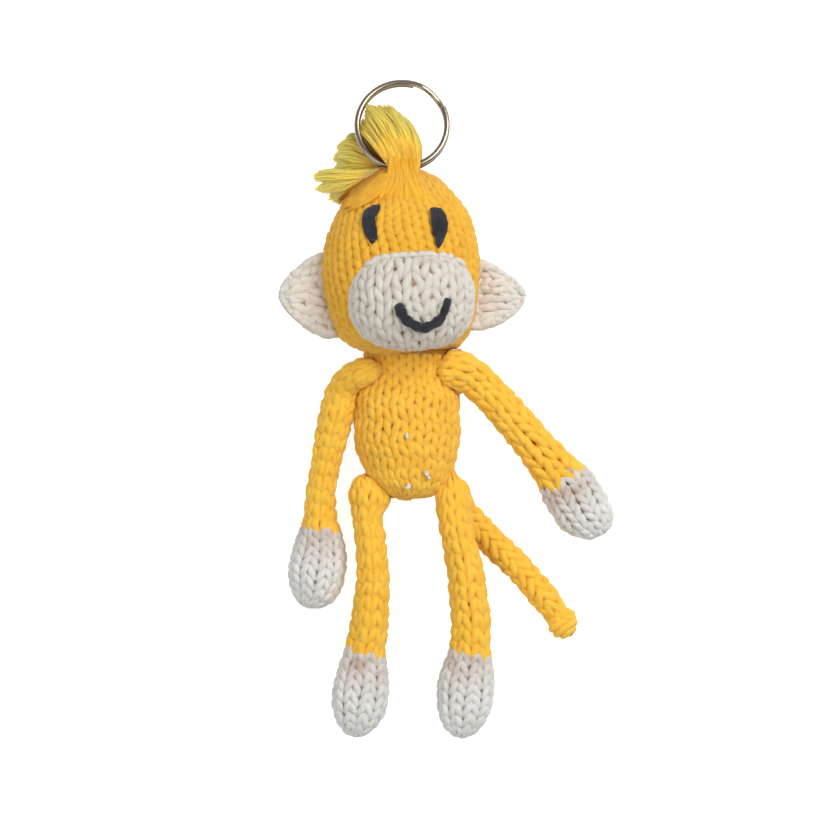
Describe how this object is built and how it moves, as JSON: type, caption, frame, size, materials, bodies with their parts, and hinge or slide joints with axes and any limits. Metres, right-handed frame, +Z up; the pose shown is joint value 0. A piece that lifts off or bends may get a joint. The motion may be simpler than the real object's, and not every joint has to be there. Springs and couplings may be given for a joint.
{
  "type": "knitted monkey keychain",
  "caption": "Knitted stuffed monkey keychain lying face up, with a split ring through a yarn loop at the crown, a fibre tuft, and soft limbs and a tail that swing.",
  "frame": {"origin": "On the flat of the back, under the middle of the torso, where the toy lies on a surface", "axes": "+Z up out of the face, away from the surface; +Y from the feet to the crown; +X to the viewer's right, looking down on the face"},
  "size_m": [0.0874, 0.1745, 0.0394],
  "materials": {
    "yellow_knit": "golden yellow cotton yarn in stocking stitch, two-ply, matt",
    "white_knit": "off-white cotton yarn in stocking stitch, two-ply, matt",
    "black_yarn": "charcoal black embroidery yarn laid in satin stitch",
    "combed_fibre": "combed unspun lemon yellow fibre, silky and see-through at its edges",
    "stuffing": "white polyester toy stuffing",
    "ring_steel": "nickel-plated spring steel, bright, with fine wear"
  },
  "bodies": {
    "torso": {"torso_cover": "yellow_knit", "torso_stuffing": "stuffing", "neck_seam": "yellow_knit"},
    "head": {"head_cover": "yellow_knit", "head_stuffing": "stuffing", "muzzle_cover": "white_knit", "muzzle_stuffing": "stuffing", "left_eye": "black_yarn", "right_eye": "black_yarn", "mouth": "black_yarn", "tuft_main": "combed_fibre", "tuft_side": "combed_fibre", "tuft_fringe": "combed_fibre"},
    "left_ear": {"left_ear": "white_knit"},
    "right_ear": {"right_ear": "white_knit"},
    "left_arm": {"left_arm": "yellow_knit", "left_hand": "white_knit", "left_arm_stuffing": "stuffing"},
    "right_arm": {"right_arm": "yellow_knit", "right_hand": "white_knit", "right_arm_stuffing": "stuffing"},
    "left_leg": {"left_leg": "yellow_knit", "left_foot": "white_knit", "left_leg_stuffing": "stuffing"},
    "right_leg": {"right_leg": "yellow_knit", "right_foot": "white_knit", "right_leg_stuffing": "stuffing"},
    "tail": {"tail": "yellow_knit"},
    "loop": {"hanging_loop": "yellow_knit"},
    "ring": {"split_ring": "ring_steel"}
  },
  "joints": [
    {"name": "neck_turn", "type": "hinge", "parent": "torso", "child": "head", "pos_m": [0, 0.01845, 0.012], "axis": [0, 1, 0], "range_deg": [-60, 60]},
    {"name": "left_ear_fold", "type": "hinge", "parent": "head", "child": "left_ear", "pos_m": [-0.0234, 0.0349, 0.014], "axis": [-0.1219, 0.9925, 0], "range_deg": [-20, 45]},
    {"name": "right_ear_fold", "type": "hinge", "parent": "head", "child": "right_ear", "pos_m": [0.0208, 0.0349, 0.014], "axis": [-0.1219, -0.9925, 0], "range_deg": [-20, 45]},
    {"name": "left_shoulder", "type": "hinge", "parent": "torso", "child": "left_arm", "pos_m": [-0.0152, 0.0146, 0.012], "axis": [0, 0, -1], "range_deg": [0, 85]},
    {"name": "right_shoulder", "type": "hinge", "parent": "torso", "child": "right_arm", "pos_m": [0.0152, 0.0146, 0.012], "axis": [0, 0, 1], "range_deg": [-5, 55]},
    {"name": "left_hip", "type": "hinge", "parent": "torso", "child": "left_leg", "pos_m": [-0.0094, -0.0203, 0.0112], "axis": [-1, 0, 0], "range_deg": [0, 80]},
    {"name": "right_hip", "type": "hinge", "parent": "torso", "child": "right_leg", "pos_m": [0.0126, -0.0203, 0.0112], "axis": [-1, 0, 0], "range_deg": [0, 80]},
    {"name": "tail_swing", "type": "hinge", "parent": "torso", "child": "tail", "pos_m": [0.009, -0.0187, 0.0027], "axis": [0, 0, 1], "range_deg": [-8, 18]},
    {"name": "loop_swing", "type": "hinge", "parent": "head", "child": "loop", "pos_m": [-0.0013, 0.0685, 0.0106], "axis": [1, 0, 0], "range_deg": [0, 75]},
    {"name": "ring_spin", "type": "hinge", "parent": "loop", "child": "ring", "pos_m": [-0.0013, 0.0793, 0.0069], "axis": [0, 0.3256, 0.9455], "continuous": true}
  ]
}
